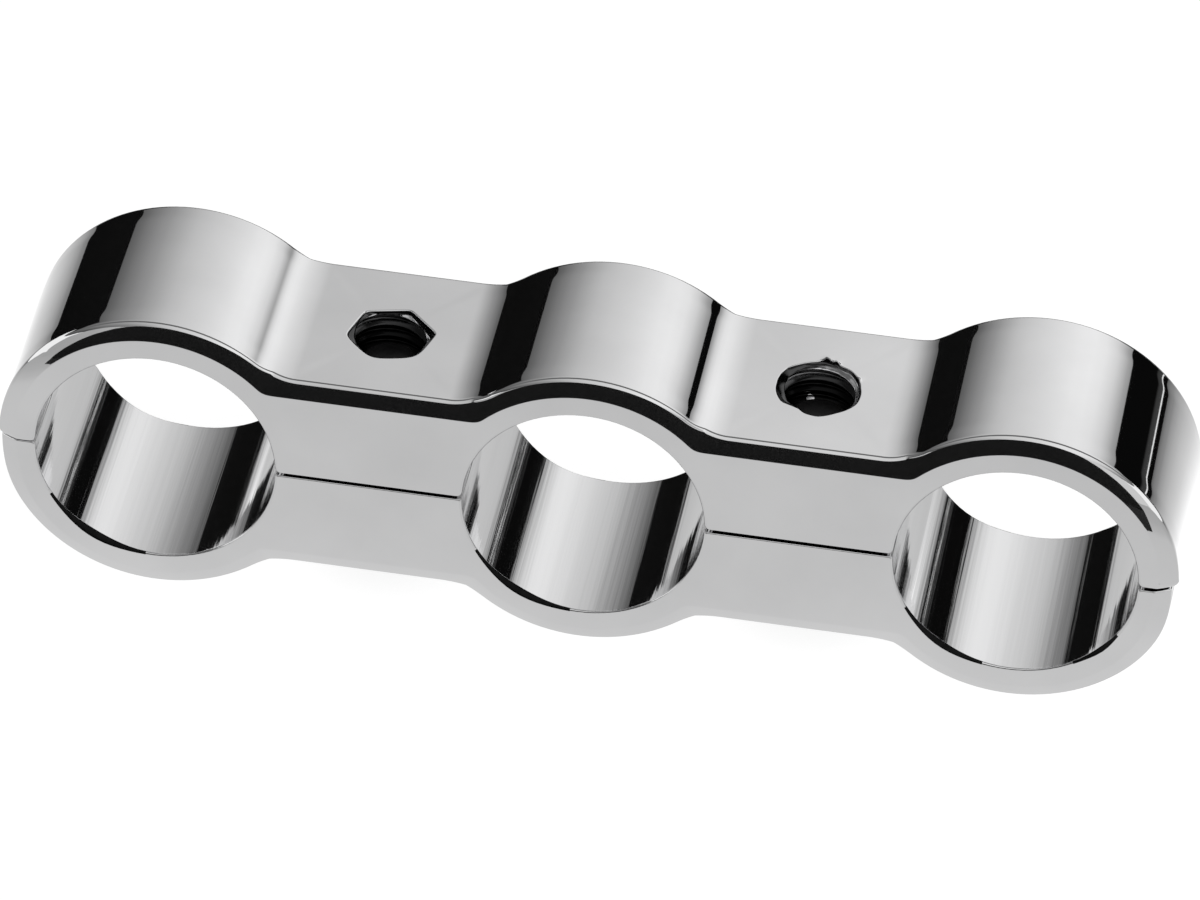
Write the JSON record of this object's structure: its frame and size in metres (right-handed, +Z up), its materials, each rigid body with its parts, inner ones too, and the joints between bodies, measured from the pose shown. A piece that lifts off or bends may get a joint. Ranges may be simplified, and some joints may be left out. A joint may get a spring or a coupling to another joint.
{
  "type": "hose separator clamp",
  "caption": "Split clamp bar in chrome-plated aluminium that holds parallel hoses side by side, drawn together by socket screws through its webs.",
  "frame": {"origin": "centre of the middle hose bore, halfway along its depth, on the parting plane", "axes": "+X along the bar, from the hole with the six-sided mouth towards the other; +Y along the hoses, from the front end face to the back one; +Z up, from the screw heads towards the tapped holes"},
  "size_m": [0.0698, 0.0126, 0.019],
  "materials": {
    "chrome_plate": "mirror-polished chrome plate",
    "black_oxide_screw": "black oxide on alloy steel, satin"
  },
  "bodies": {
    "lower_half": {"lower_half": "chrome_plate"},
    "upper_half": {"upper_half": "chrome_plate"},
    "left_screw": {"left_screw": "black_oxide_screw"},
    "right_screw": {"right_screw": "black_oxide_screw"}
  },
  "joints": [
    {"name": "upper_half_lift", "type": "slide", "parent": "lower_half", "child": "upper_half", "axis": [0, 0, 1], "range_m": [0, 0.0045]},
    {"name": "left_screw_turn", "type": "hinge", "parent": "lower_half", "child": "left_screw", "pos_m": [-0.0127, 0, 0], "axis": [0, 0, -1], "range_deg": [0, 2041]},
    {"name": "right_screw_turn", "type": "hinge", "parent": "lower_half", "child": "right_screw", "pos_m": [0.0127, 0, 0], "axis": [0, 0, -1], "range_deg": [0, 2041]}
  ],
  "couplings": [
    {"joint": "left_screw_turn", "follows": "upper_half_lift", "rad_per_m": 7915.8},
    {"joint": "right_screw_turn", "follows": "upper_half_lift", "rad_per_m": 7915.8}
  ]
}
